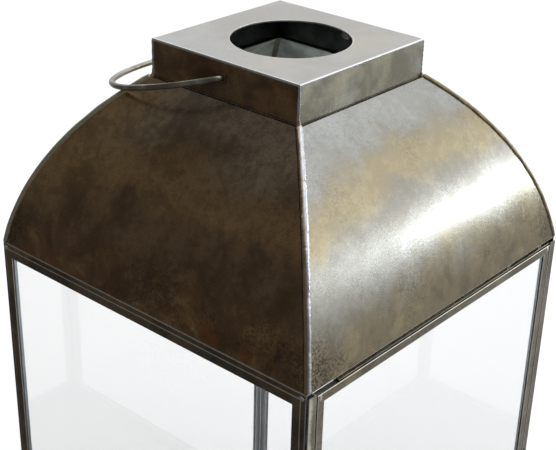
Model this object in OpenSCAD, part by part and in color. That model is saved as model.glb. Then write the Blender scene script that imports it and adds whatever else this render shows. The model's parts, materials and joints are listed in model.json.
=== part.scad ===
// Sheet-metal candle lantern: four glazed sides, one of them a door, a curved
// hipped roof, a square chimney cap with a round vent, and a wire bail.
// The front is -Y, where the door is. Millimetres, +Z up, origin under the centre of the base.

/* [Body] */
// Width across the outer faces of the glazed sides
body_w = 301.4; // [200:0.2:400]
// Height from the surface the lantern stands on to the roof's lower edge
eaves_z = 440; // [280:1:560]
// Distance that each side frame stops short of the corner, which leaves a slit
corner_notch = 2; // [1:0.1:4]

/* [Side frames] */
// Width of the recessed lip round each frame
lip_w = 3.3; // [2:0.1:6]
// Depth of the lip below the frame's face
lip_recess = 0.9; // [0.4:0.1:1.5]
// Width of a frame bar's raised face
face_w = 7; // [5:0.1:12]
// Thickness of the frame bars' metal
bar_t = 1; // [0.8:0.1:1.4]
// Thickness of the glass
glass_t = 3; // [2:0.5:4]
// Thickness of the beads behind the glass
bead_t = 0.8; // [0.6:0.1:1.2]

/* [Roof] */
// Distance of the roof's lower edge inside the faces of the glazed sides
eaves_inset = 1.3; // [0.5:0.1:3]
// Height from the roof's lower edge to its upper edge
roof_rise = 131; // [80:1:180]
// Gap between the roof's mouth, inside its sheets, and the cap's walls
mouth_gap = 0.004; // [0:0.001:0.5]
// Radius that the roof panels are rolled to
roof_r = 218; // [150:1:400]
// Thickness of the roof's sheet
roof_t = 1.2; // [0.8:0.1:2]
// Radius of the brazed bead along each hip
hip_r = 2.2; // [1.5:0.1:3]
// Distance of the bead's middle inside each panel's plane
hip_sink = 1.1; // [0.4:0.1:1.2]

/* [Cap] */
// Width of the square cap
cap_w = 136.5; // [80:0.5:190]
// Height of the cap
cap_h = 28; // [20:0.5:50]
// Diameter of the round vent in the cap
vent_d = 87; // [40:1:120]
// Distance of the vent's middle from the cap's middle, to the right and to the front
vent_shift = 1; // [0:0.1:3]
// Thickness of the cap's sheet
cap_t = 1.2; // [0.8:0.1:2]
// Width of the flat rim that the cap stands on
rim_w = 3.4; // [2.5:0.1:6]
// Distance that the rim is let into the roof's sheets
rim_seat = 0.745; // [0.2:0.005:1]

/* [Bail] */
// Diameter of the bail's wire
wire_d = 4.3; // [3:0.1:6]
// Distance that the bail's round bend reaches past the cap's sides, to the middle of the wire
bail_reach = 22.75; // [15:0.25:35]
// Radius of the bends at its two ends, to the middle of the wire
bend_r = 4; // [3.2:0.1:8]
// Height of the bail's pivot above the roof's upper edge
pivot_h = 16; // [8:0.5:22]
// Thickness of the eyelets' flanges
eyelet_flange = 0.8; // [0.5:0.1:1.5]

/* [Door] */
// Width of a door bar's face
door_face = 6.5; // [5:0.1:10]
// Width of the seam between the door and the fixed jambs and sill
door_seam = 1.3; // [0.8:0.1:2]
// Width of the fixed jambs and height of the sill
jamb_w = 7; // [6:0.1:12]
// Depth of the jambs' and header's inward returns
return_d = 9; // [6:0.5:14]
// Height of the gap between the header and the roof's lower edge
eaves_gap = 2.5; // [1:0.1:5]
// Distance from the hinged corner at which the header begins
header_start = 32; // [10:1:60]
// Distance of the hinged jamb's top below the roof's lower edge
jamb_drop = 6; // [2:0.5:12]
// Radius of the hinge knuckles
knuckle_r = 2.2; // [1.8:0.1:2.4]
// Radius of the hinge pins
pin_r = 1.1; // [0.8:0.1:1.2]
// Length of one hinge knuckle
knuckle_l = 10; // [6:1:16]
// Distance of each hinge from the door's upper or lower edge
hinge_inset = 75; // [40:1:110]

/* [Base] */
// Distance that the base stands out past the glazed sides
base_overhang = 5.8; // [3:0.1:12]
// Height of the base, without its pads
base_h = 26; // [16:1:50]
// Thickness of the base's sheet
base_t = 1.5; // [1:0.1:3]
// Diameter of the four pads under the base
pad_d = 16; // [10:1:24]
// Thickness of the pads
pad_h = 2; // [1:0.5:6]

/* [Fits] */
// Radial clearance of a pin in its hole
pin_gap = 0.05; // [0.01:0.01:0.1]
// Clearance between faces that move past each other
move_gap = 0.4; // [0.2:0.1:0.8]
// Clearance between the glazing beads of two neighbouring sides
bead_gap = 0.2; // [0.1:0.1:0.6]
// Clearance of the bail's wire over the roof when it is down
rest_gap = 0.5; // [0.4:0.1:3]

/* [Hidden] */
$fn = 64;

// Colours
dark_iron = [0.20, 0.17, 0.13];
olive_iron = [0.36, 0.32, 0.25];
bare_steel = [0.55, 0.53, 0.50];
copper = [0.62, 0.38, 0.26];
pane = [0.85, 0.92, 0.92, 0.35];
felt = [0.12, 0.12, 0.12];

// The four sides in order: their turn about Z from the front
right_side = 90;
back_side = 180;
left_side = 270;
eps = 0.01;

// Widths that follow from the body's and the cap's
base_w = body_w + 2 * base_overhang;
roof_w = body_w - 2 * eaves_inset;

// Levels
base_top = pad_h + base_h;
cap_z = eaves_z + roof_rise;
pivot_z = cap_z + pivot_h;

// A side frame, in its own plane: X along the side, Y up, Z outwards
frame_w = body_w - 2 * corner_notch;
frame_h = eaves_z - base_top;
bar_w = lip_w + face_w;
step_run = 0.4;
glass_inset = lip_w + 1.6;
bead_back = bar_t + glass_t + bead_t;
bead_edge = 0.6;
bead_foot = max(lip_w - bead_t, bead_back - corner_notch + bead_gap);

// The front's fixed frame and the door inside it
door_w = frame_w - 2 * (jamb_w + door_seam);
door_z = base_top + jamb_w + door_seam;
door_top = eaves_z - eaves_gap - bar_t - move_gap;
door_h = door_top - door_z;
door_depth = bar_t + glass_t + bead_t;
face_y = -body_w / 2;
jamb_in = frame_w / 2 - jamb_w;

// The hinges stand in front of the seam on the left
hinge_x = -(jamb_in - door_seam / 2);
hinge_y = face_y - knuckle_r - move_gap;
leaf_t = 0.8;
leaf_reach = 6;
leaf_clear = knuckle_r + 0.8;
hinge_levels = [door_z + hinge_inset, door_top - hinge_inset];
knuckle_gap = 0.2;

// The turning catch on the right jamb
catch_x = frame_w / 2 - jamb_w / 2;
catch_z = (door_z + door_top) / 2;
catch_long = jamb_w / 2 + door_seam + door_face - 0.5;
catch_short = jamb_w / 2;
catch_w = 6.4;
catch_t = 1;
rivet_r = 1.4;
rivet_head_r = 2.6;
rivet_head_t = 0.9;
shoulder_r = 2.2;

// The roof's profile is an arc from its lower to its upper edge, bulging outwards. The upper edge
// lies a sheet's level width outside the cap's walls; that width is measured on a first try.
roof_low = [roof_w / 2, 0];
function arc_middle(high) =
    let (chord = high - roof_low, inward = [-chord[1], chord[0]] / norm(chord))
    (roof_low + high) / 2 + inward * sqrt(roof_r * roof_r - chord * chord / 4);
function mouth_half(c) = c[0] + sqrt(pow(roof_r - roof_t, 2) - pow(roof_rise - c[1], 2));
first_try = cap_w / 2 + 1.6 * roof_t;
level_t = first_try - mouth_half(arc_middle([first_try, roof_rise]));
roof_high = [cap_w / 2 + mouth_gap + level_t, roof_rise];
roof_c = arc_middle(roof_high);
function roof_z(w) = roof_c[1] + sqrt(roof_r * roof_r - pow(w - roof_c[0], 2));

// The bail: a big round bend that runs into a small one at each end, where the wire turns in.
// The small bends' centres lie inside the big one, so that the two meet in one direction.
wire_r = wire_d / 2;
bail_r = cap_w / 2 + bail_reach;
bail_x = cap_w / 2 + eyelet_flange + move_gap;
bail_out = bend_r + sqrt(pow(bail_r - bend_r, 2) - bail_x * bail_x);
bail_end_a = atan2(bail_out - bend_r, bail_x);
pin_in = cap_w / 2 - cap_t - eyelet_flange - move_gap;
eyelet_r = wire_r + 0.9;
eyelet_flange_r = wire_r + 1.6;

// Gap between the wire and the hip bead, and between the wire and the panels, at angle t
// round the bend, with the bail down by a. Both are measured square to the roof's slope.
function roof_slope(w) = (w - roof_c[0]) / sqrt(roof_r * roof_r - pow(w - roof_c[0], 2));
function wire_at(t, a) =
    let (out = bail_out + bail_r * sin(t))
    [bail_r * cos(t), out * cos(a), roof_rise + pivot_h - out * sin(a)];
function hip_gap(p, w) =
    norm([(p[0] - p[1]) / sqrt(2), (p[2] - roof_z(w)) * cos(atan(roof_slope(w) / sqrt(2)))])
    - wire_r - hip_r;
function panel_gap(p, w) = (p[2] - roof_z(w)) * cos(atan(roof_slope(w))) - wire_r;
function bail_gap(p) = min(hip_gap(p, (p[0] + p[1]) / 2 + hip_sink), panel_gap(p, max(p[0], p[1])));
function bail_least(a) = min([for (t = [0 : 2 : 90]) let (p = wire_at(t, a))
    if (max(p[0], p[1]) < roof_w / 2) bail_gap(p)]);
function bail_down(a) = a > 60 || bail_least(a + 0.2) < rest_gap ? a : bail_down(a + 0.2);
bail_rest = bail_down(0);

// A frame bar's section, with its lip's outer edge at 0 and its face at height 0
module bar_section() {
    polygon([
        [0, -lip_recess], [lip_w, -lip_recess], [lip_w + step_run, 0], [bar_w, 0],
        [bar_w, -bar_t], [lip_w + bar_t, -bar_t], [lip_w + bar_t - step_run, -lip_recess - bar_t],
        [0, -lip_recess - bar_t]
    ]);
}

// The bead that holds the glass from behind: a foot on the lip and a flat on the glass
module bead_section() {
    polygon([
        [bead_foot, -lip_recess - bar_t], [bead_foot, -bead_back],
        [bar_w - bead_edge, -bead_back], [bar_w - bead_edge, -bead_back + bead_t],
        [bead_foot + bead_t, -bead_back + bead_t], [bead_foot + bead_t, -lip_recess - bar_t]
    ]);
}

// A door bar's section: a face with a return at its outer edge
module door_section() {
    polygon([
        [0, 0], [door_face, 0], [door_face, -bar_t], [bar_t, -bar_t], [bar_t, -door_depth],
        [0, -door_depth]
    ]);
}

// The flat bead inside a door bar
module door_bead_section() {
    translate([bar_t, -door_depth]) square([door_face - bead_edge - bar_t, bead_t]);
}

// One bar of a w by h frame in the XY plane, with mitred ends; side 0 is the bottom, then
// the right, the top and the left
module mitred_bar(w, h, side) {
    long = side % 2 == 0 ? w : h;
    deep = bar_w + eps;
    corner = [[0, 0], [w, 0], [w, h], [0, h]][side];
    translate([corner[0], corner[1], 0]) rotate([0, 0, 90 * side]) intersection() {
        rotate([90, 0, 90]) linear_extrude(long) children();
        translate([0, 0, -2 * deep])
            linear_extrude(4 * deep)
                polygon([[0, 0], [long, 0], [long - deep, deep], [deep, deep]]);
    }
}

// Places a side's plane: turn is the side's turn from the front
module on_side(turn) {
    rotate([0, 0, turn])
        translate([-frame_w / 2, -body_w / 2, base_top]) rotate([90, 0, 0]) children();
}

module side_bar(turn, side) {
    color(dark_iron) on_side(turn) mitred_bar(frame_w, frame_h, side) bar_section();
}

module side_glass(turn) {
    color(pane) on_side(turn)
        translate([glass_inset, glass_inset, -bar_t - glass_t])
            cube([frame_w - 2 * glass_inset, frame_h - 2 * glass_inset, glass_t]);
}

module side_beads(turn) {
    color(bare_steel) on_side(turn)
        for (side = [0 : 3]) mitred_bar(frame_w, frame_h, side) bead_section();
}

// Base: an angle round each side, a flat top plate and four pads
module base_skirt(turn) {
    drop = base_h - base_t;
    flange = pad_d + 4;
    color(dark_iron) rotate([0, 0, turn]) translate([0, 0, pad_h]) intersection() {
        translate([-base_w / 2, -base_w / 2, 0]) {
            cube([base_w, base_t, drop]);
            cube([base_w, flange, base_t]);
        }
        linear_extrude(drop) polygon([[0, 0], [-base_w / 2, -base_w / 2], [base_w / 2, -base_w / 2]]);
    }
}

module base_plate() {
    color(dark_iron) translate([-base_w / 2, -base_w / 2, base_top - base_t])
        cube([base_w, base_w, base_t]);
}

module foot_pads() {
    at = base_w / 2 - base_t - pad_d / 2 - 1;
    color(felt) for (x = [-at, at], y = [-at, at]) translate([x, y, 0]) cylinder(d = pad_d, h = pad_h);
}

// Front: jambs, sill and header
module jamb(hand, top) {
    color(dark_iron) mirror([hand < 0 ? 1 : 0, 0, 0]) {
        translate([jamb_in, face_y, base_top]) cube([jamb_w, bar_t, top - base_top]);
        translate([jamb_in, face_y, base_top]) cube([bar_t, return_d, eaves_z - eaves_gap - base_top]);
    }
}

module front_header() {
    from = -body_w / 2 + header_start;
    color(olive_iron) translate([from, face_y + bar_t, eaves_z - eaves_gap - bar_t]) {
        cube([jamb_in - from, return_d - 2 * bar_t, bar_t]);
        translate([0, door_depth - bar_t + move_gap, -jamb_w])
            cube([jamb_in - from, bar_t, jamb_w]);
    }
}

module front_sill() {
    color(dark_iron) translate([-jamb_in, face_y, base_top]) {
        cube([2 * jamb_in, bar_t, jamb_w]);
        translate([0, 0, jamb_w - bar_t]) cube([2 * jamb_in, return_d, bar_t]);
    }
}

// Small steel tabs that hold the roof's front edge to the header
module eaves_tabs() {
    tab_w = 4;
    tab_d = 1.2;
    color(bare_steel) for (at = [24, 68])
        translate([body_w / 2 - at - tab_w / 2, -roof_w / 2, eaves_z - eaves_gap])
            cube([tab_w, tab_d, eaves_gap]);
}

// Door: its plane is like a side's
module on_door() {
    translate([-door_w / 2, face_y, door_z]) rotate([90, 0, 0]) children();
}

module door_bar(side) {
    color(olive_iron) on_door() mitred_bar(door_w, door_h, side) door_section();
}

module door_glass() {
    inset = bar_t + 0.4;
    color(pane) on_door() translate([inset, inset, -bar_t - glass_t])
        cube([door_w - 2 * inset, door_h - 2 * inset, glass_t]);
}

module door_glazing_beads() {
    color(bare_steel) on_door()
        for (side = [0 : 3]) mitred_bar(door_w, door_h, side) door_bead_section();
}

module door_knob() {
    knob_r = 2.6;
    color(bare_steel) translate([door_w / 2 - door_face / 2, face_y, catch_z - 40]) rotate([90, 0, 0]) {
        cylinder(r = knob_r * 0.6, h = 1.4);
        translate([0, 0, 1.2]) cylinder(r1 = knob_r * 0.7, r2 = knob_r, h = 1.2);
        translate([0, 0, 2.4]) intersection() {
            sphere(r = knob_r);
            cylinder(r = knob_r + 1, h = knob_r + 1);
        }
    }
}

// A knuckle with its neck; hand is -1 for the jamb's leaf and 1 for the door's
module knuckle(hand, bore) {
    difference() {
        union() {
            cylinder(r = knuckle_r, h = knuckle_l);
            translate([hand > 0 ? 0 : -leaf_clear - eps, knuckle_r / 2, 0])
                cube([leaf_clear + eps, knuckle_r / 2 + move_gap, knuckle_l]);
        }
        translate([0, 0, -1]) cylinder(r = bore, h = knuckle_l + 2);
    }
}

// A hinge's flat leaf, soldered on the face beside its knuckles
module leaf(hand) {
    hinge_l = 3 * knuckle_l + 2 * knuckle_gap;
    at = knuckle_r + move_gap - leaf_t;
    translate([hand > 0 ? leaf_clear : -leaf_reach, at, 0])
        cube([leaf_reach - leaf_clear, leaf_t, hinge_l]);
}

module hinge_at(z) {
    translate([hinge_x, hinge_y, z - 1.5 * knuckle_l - knuckle_gap]) children();
}

module frame_hinge_leaves() {
    color(dark_iron) for (z = hinge_levels) hinge_at(z) {
        leaf(-1);
        knuckle(-1, pin_r);
        translate([0, 0, 2 * (knuckle_l + knuckle_gap)]) knuckle(-1, pin_r);
    }
}

module door_hinge_leaves() {
    color(dark_iron) for (z = hinge_levels) hinge_at(z) {
        leaf(1);
        translate([0, 0, knuckle_l + knuckle_gap]) knuckle(1, pin_r + pin_gap);
    }
}

module hinge_pins() {
    head_h = 1;
    color(bare_steel) for (z = hinge_levels) hinge_at(z) {
        translate([0, 0, -head_h]) cylinder(r = pin_r, h = 3 * knuckle_l + 2 * knuckle_gap + head_h);
        translate([0, 0, 3 * knuckle_l + 2 * knuckle_gap]) cylinder(r = pin_r + 0.6, h = head_h);
    }
}

// The catch hangs down when it is free and turns over the door's edge to hold it
module door_catch() {
    color(bare_steel) translate([catch_x, face_y - move_gap, catch_z]) rotate([90, 0, 0])
        linear_extrude(catch_t) difference() {
            union() {
                circle(r = catch_w / 2);
                translate([-catch_w / 2, -catch_long + catch_w / 2])
                    square([catch_w, catch_long - catch_w / 2]);
                translate([0, -catch_long + catch_w / 2]) circle(r = catch_w / 2);
            }
            circle(r = rivet_r + pin_gap);
        }
}

module catch_rivet() {
    color(bare_steel) translate([catch_x, face_y, catch_z]) rotate([90, 0, 0]) {
        cylinder(r = shoulder_r, h = move_gap - pin_gap);
        cylinder(r = rivet_r, h = move_gap + catch_t + pin_gap + eps);
        translate([0, 0, move_gap + catch_t + pin_gap]) cylinder(r1 = rivet_head_r,
            r2 = rivet_head_r * 0.7, h = rivet_head_t);
    }
}

// Roof: a rolled sheet on each side, mitred at the hips
module roof_section() {
    intersection() {
        translate(roof_c) difference() {
            circle(r = roof_r, $fn = 360);
            circle(r = roof_r - roof_t, $fn = 360);
        }
        square([roof_w, roof_rise]);
    }
}

module roof_panel(turn) {
    color(olive_iron) rotate([0, 0, turn]) translate([0, 0, eaves_z]) intersection() {
        translate([-roof_w, 0, 0]) rotate([90, 0, 90])
            linear_extrude(2 * roof_w) mirror([1, 0]) roof_section();
        linear_extrude(roof_rise) polygon([[0, 0], [-roof_w, -roof_w], [roof_w, -roof_w]]);
    }
}

// A round bead swept up the hip of the front right corner, then turned to its own corner
bead_rings = 28;
bead_sides = 10;
bead_low_z = hip_r;
bead_high_z = roof_rise - hip_r;
function hip_half(z) = roof_c[0] + sqrt(roof_r * roof_r - pow(z - roof_c[1], 2));
function hip_point(z) = [hip_half(z) - hip_sink, -hip_half(z) + hip_sink, z];
function hip_ring(z) =
    let (along = hip_point(z + 0.5) - hip_point(z - 0.5), side = [1, 1, 0] / sqrt(2),
         out = cross(side, along / norm(along)))
    [for (j = [0 : bead_sides - 1])
        hip_point(z) + hip_r * (cos(360 * j / bead_sides) * side + sin(360 * j / bead_sides) * out)];
module hip_bead(turn) {
    last = (bead_rings - 1) * bead_sides;
    points = [for (i = [0 : bead_rings - 1])
        each hip_ring(bead_low_z + (bead_high_z - bead_low_z) * i / (bead_rings - 1))];
    walls = [for (i = [0 : bead_rings - 2], j = [0 : bead_sides - 1])
        let (a = i * bead_sides + j, b = i * bead_sides + (j + 1) % bead_sides)
        each [[a, a + bead_sides, b], [b, a + bead_sides, b + bead_sides]]];
    lower = [for (j = [1 : bead_sides - 2]) [0, j, j + 1]];
    upper = [for (j = [1 : bead_sides - 2]) [last, last + j + 1, last + j]];
    color(copper) rotate([0, 0, turn]) translate([0, 0, eaves_z])
        polyhedron(points, concat(walls, lower, upper));
}

// Cap: a flat rim brazed into the roof's mouth, four walls and a top with the vent
module cap_rim() {
    rim_out = mouth_half(roof_c) + rim_seat;
    rim_in = cap_w / 2 - rim_w;
    color(dark_iron) translate([0, 0, cap_z - cap_t]) linear_extrude(cap_t) difference() {
        square(2 * rim_out, center = true);
        square(2 * rim_in, center = true);
    }
}

module cap_wall(turn, hole_r) {
    wall_h = cap_h - cap_t;
    color(dark_iron) rotate([0, 0, turn]) translate([0, 0, cap_z]) difference() {
        intersection() {
            translate([-cap_w / 2, -cap_w / 2, 0]) cube([cap_w, cap_t, wall_h]);
            linear_extrude(wall_h) polygon([[0, 0], [-cap_w / 2, -cap_w / 2], [cap_w / 2, -cap_w / 2]]);
        }
        if (hole_r > 0) translate([0, 1 - cap_w / 2 + cap_t, pivot_h]) rotate([90, 0, 0])
            cylinder(r = hole_r, h = cap_t + 2);
    }
}

module cap_top() {
    color(bare_steel) translate([0, 0, cap_z + cap_h - cap_t]) linear_extrude(cap_t) difference() {
        square(cap_w, center = true);
        translate([vent_shift, -vent_shift]) circle(d = vent_d);
    }
}

// A hollow rivet through the cap's wall that the bail's end turns in
module bail_eyelet(hand) {
    color(bare_steel) translate([hand * (cap_w / 2 + eyelet_flange), 0, pivot_z])
        rotate([0, -90 * hand, 0]) difference() {
            union() {
                cylinder(r = eyelet_flange_r, h = eyelet_flange);
                cylinder(r = eyelet_r, h = cap_t + 2 * eyelet_flange);
                translate([0, 0, cap_t + eyelet_flange]) cylinder(r = eyelet_flange_r, h = eyelet_flange);
            }
            translate([0, 0, -1]) cylinder(r = wire_r + pin_gap, h = cap_t + 2 * eyelet_flange + 2);
        }
}

// The bail lies down towards the back; its ends turn in through the eyelets and are headed
module bail() {
    weld_swell = 0.2;
    head_r = wire_r + 1;
    head_t = 1.6;
    color(bare_steel) translate([0, 0, pivot_z]) rotate([-bail_rest, 0, 0]) {
        translate([0, bail_out, 0]) rotate([0, 0, -bail_end_a])
            rotate_extrude(angle = 180 + 2 * bail_end_a) translate([bail_r, 0]) circle(r = wire_r);
        for (hand = [0, 1]) mirror([hand, 0, 0]) {
            translate([bail_x, bend_r, 0]) {
                rotate([0, 0, -90])
                    rotate_extrude(angle = 90 - bail_end_a) translate([bend_r, 0]) circle(r = wire_r);
                rotate([0, 0, -bail_end_a]) translate([bend_r, 0, 0]) sphere(r = wire_r + weld_swell);
            }
            translate([pin_in, 0, 0]) rotate([0, 90, 0]) cylinder(r = wire_r, h = bail_x - pin_in);
            translate([pin_in - head_t, 0, 0]) rotate([0, 90, 0]) cylinder(r = head_r, h = head_t);
        }
    }
}

base_plate();
base_skirt(0);  // base_skirt_front
base_skirt(right_side);  // base_skirt_right
base_skirt(back_side);  // base_skirt_back
base_skirt(left_side);  // base_skirt_left
foot_pads();
side_bar(right_side, 0);  // right_bottom_rail
side_bar(right_side, 1);  // right_back_stile
side_bar(right_side, 2);  // right_top_rail
side_bar(right_side, 3);  // right_front_stile
side_bar(back_side, 0);  // back_bottom_rail
side_bar(back_side, 1);  // back_left_stile
side_bar(back_side, 2);  // back_top_rail
side_bar(back_side, 3);  // back_right_stile
side_bar(left_side, 0);  // left_bottom_rail
side_bar(left_side, 1);  // left_front_stile
side_bar(left_side, 2);  // left_top_rail
side_bar(left_side, 3);  // left_back_stile
side_glass(right_side);  // right_glass
side_glass(back_side);  // back_glass
side_glass(left_side);  // left_glass
side_beads(right_side);  // right_glazing_beads
side_beads(back_side);  // back_glazing_beads
side_beads(left_side);  // left_glazing_beads
jamb(-1, eaves_z - jamb_drop);  // front_left_jamb
jamb(1, eaves_z - eaves_gap);  // front_right_jamb
front_header();
front_sill();
eaves_tabs();
door_bar(0);  // door_bottom_rail
door_bar(1);  // door_catch_stile
door_bar(2);  // door_top_rail
door_bar(3);  // door_hinge_stile
door_glass();
door_glazing_beads();
door_knob();
door_hinge_leaves();
frame_hinge_leaves();
hinge_pins();
door_catch();
catch_rivet();
roof_panel(0);  // roof_panel_front
roof_panel(right_side);  // roof_panel_right
roof_panel(back_side);  // roof_panel_back
roof_panel(left_side);  // roof_panel_left
hip_bead(0);  // hip_bead_front_right
hip_bead(right_side);  // hip_bead_back_right
hip_bead(back_side);  // hip_bead_back_left
hip_bead(left_side);  // hip_bead_front_left
cap_rim();
cap_wall(0, 0);  // cap_wall_front
cap_wall(right_side, eyelet_r);  // cap_wall_right
cap_wall(back_side, 0);  // cap_wall_back
cap_wall(left_side, eyelet_r);  // cap_wall_left
cap_top();
bail_eyelet(1);  // bail_eyelet_right
bail_eyelet(-1);  // bail_eyelet_left
bail();
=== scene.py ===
# %% [markdown]
# # A sheet-metal candle lantern
# This lesson dresses a finished CAD lantern: four glazed sides, a curved hipped roof of rolled
# sheet, a square cap with a round vent, and a bail of bent wire. The CAD model says where
# everything is and how it moves. Here each part becomes a detailed surface with a hand-made look.
# Lengths are in metres, +Z is up, and the door is on the side that faces -Y.

# %% Load the frame and keep the CAD model's box
import json
import math

import bpy
import numpy as np
from mathutils import Matrix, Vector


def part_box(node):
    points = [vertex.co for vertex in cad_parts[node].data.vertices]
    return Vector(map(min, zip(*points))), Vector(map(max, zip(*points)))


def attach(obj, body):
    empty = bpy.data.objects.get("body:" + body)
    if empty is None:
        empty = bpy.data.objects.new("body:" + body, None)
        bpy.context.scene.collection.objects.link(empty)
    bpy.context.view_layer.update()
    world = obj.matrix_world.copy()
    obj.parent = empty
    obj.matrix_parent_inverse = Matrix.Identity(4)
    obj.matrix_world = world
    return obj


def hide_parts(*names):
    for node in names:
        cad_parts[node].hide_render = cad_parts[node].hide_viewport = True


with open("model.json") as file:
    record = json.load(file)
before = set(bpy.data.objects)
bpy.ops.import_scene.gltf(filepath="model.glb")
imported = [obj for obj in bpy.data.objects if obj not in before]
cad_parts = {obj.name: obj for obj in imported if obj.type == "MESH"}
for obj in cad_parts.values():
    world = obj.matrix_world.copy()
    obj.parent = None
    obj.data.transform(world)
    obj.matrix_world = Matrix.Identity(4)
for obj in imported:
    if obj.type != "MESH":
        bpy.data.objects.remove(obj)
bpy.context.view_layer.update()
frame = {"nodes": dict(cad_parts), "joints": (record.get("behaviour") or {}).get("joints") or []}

# %% [markdown]
# ## Sizes
# Most sizes are read from the packed parts' boxes, so that a changed lantern still fits. A few
# can't be read from a box, such as the radius that the roof was rolled to, and are named here.

# %% Read the places of the parts
MM = 0.001


def low(node):
    """The lowest corner of a CAD part as an array."""
    return np.array(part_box(node)[0])


def high(node):
    """The highest corner of a CAD part as an array."""
    return np.array(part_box(node)[1])


def joint_at(name):
    """A point on the axis of a joint."""
    return next(np.array(joint["pos_m"]) for joint in frame["joints"] if joint["name"] == name)


frame_half = high("left_top_rail")[1]
body_half = frame_half + 2 * MM
base_top = high("base_plate")[2]
eaves_z, roof_top_z = low("roof_panel_front")[2], high("roof_panel_front")[2]
roof_half = high("roof_panel_front")[0]
cap_half, _, cap_top_z = high("cap_top")
bail_pivot_z = joint_at("bail_pivot")[2]
roof_top_half = cap_half + 1.95 * MM
roof_radius = 218 * MM
sheet = 1.2 * MM
print("eaves", eaves_z, "roof half", roof_half, "cap half", cap_half, "pivot", bail_pivot_z)

# %% [markdown]
# ## Camera
# A studio camera a little under a metre away looks down on the near corner. Its place is written
# as an orbit round a point on the lantern's axis: angle round, angle up, distance, and a slight
# roll, which is what a hand-levelled tripod leaves.

# %% Camera
ORBIT_AZIMUTH = math.radians(-49.446)
ORBIT_ELEVATION = math.radians(26.443)
ORBIT_ROLL = math.radians(1.519)
ORBIT_DISTANCE = 0.9283
ORBIT_MIDDLE = np.array([-2.80 * MM, 3.27 * MM, eaves_z + 11.55 * MM])
LENS_MM = 79.1


def put_in_scene(name, data):
    """Makes an object of a mesh, a camera or a light and links it to the scene."""
    made = bpy.data.objects.new(name, data)
    bpy.context.scene.collection.objects.link(made)
    return made


def facing(place, side, back):
    """A matrix at a place, with its x axis along side and its z axis along back."""
    matrix = np.eye(4)
    matrix[:3] = np.stack([side, np.cross(back, side), back, place], 1)
    return Matrix(matrix.tolist())


back = np.array([
    math.sin(ORBIT_AZIMUTH) * math.cos(ORBIT_ELEVATION),
    -math.cos(ORBIT_AZIMUTH) * math.cos(ORBIT_ELEVATION),
    math.sin(ORBIT_ELEVATION),
])
level = np.array([math.cos(ORBIT_AZIMUTH), math.sin(ORBIT_AZIMUTH), 0.0])
right = math.cos(ORBIT_ROLL) * level + math.sin(ORBIT_ROLL) * np.cross(back, level)
camera = put_in_scene("camera", bpy.data.cameras.new("camera"))
camera.matrix_world = facing(ORBIT_MIDDLE + ORBIT_DISTANCE * back, right, back)
camera.data.lens = LENS_MM
camera.data.clip_start = 0.05
bpy.context.scene.camera = camera
print("camera at", (ORBIT_MIDDLE + ORBIT_DISTANCE * back).round(4))

# %% [markdown]
# ## Shader maths as Python
# Patina is layers of noise added, multiplied and used as masks. Written as nodes that is a
# tangle, so a small class wraps an output socket, and + - * / on it add Math nodes.


# %% A class for shader values, and one for a finish
class Value:
    """An output socket of a node tree; arithmetic on it adds Math nodes."""

    def __init__(self, nodes, socket):
        self.nodes, self.socket = nodes, socket

    def _math(self, operation, first, second=0.0):
        return self.nodes.node("ShaderNodeMath", {"operation": operation}, {0: first, 1: second})

    def __add__(self, other):
        return self._math("ADD", self, other)

    def __sub__(self, other):
        return self._math("SUBTRACT", self, other)

    def __rsub__(self, other):
        return self._math("SUBTRACT", other, self)

    def __mul__(self, other):
        return self._math("MULTIPLY", self, other)

    def __truediv__(self, other):
        return self._math("DIVIDE", self, other)

    def __abs__(self):
        return self._math("ABSOLUTE", self)

    def smaller(self, other):
        return self._math("MINIMUM", self, other)

    def larger(self, other):
        return self._math("MAXIMUM", self, other)

    __radd__, __rmul__ = __add__, __mul__


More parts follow.
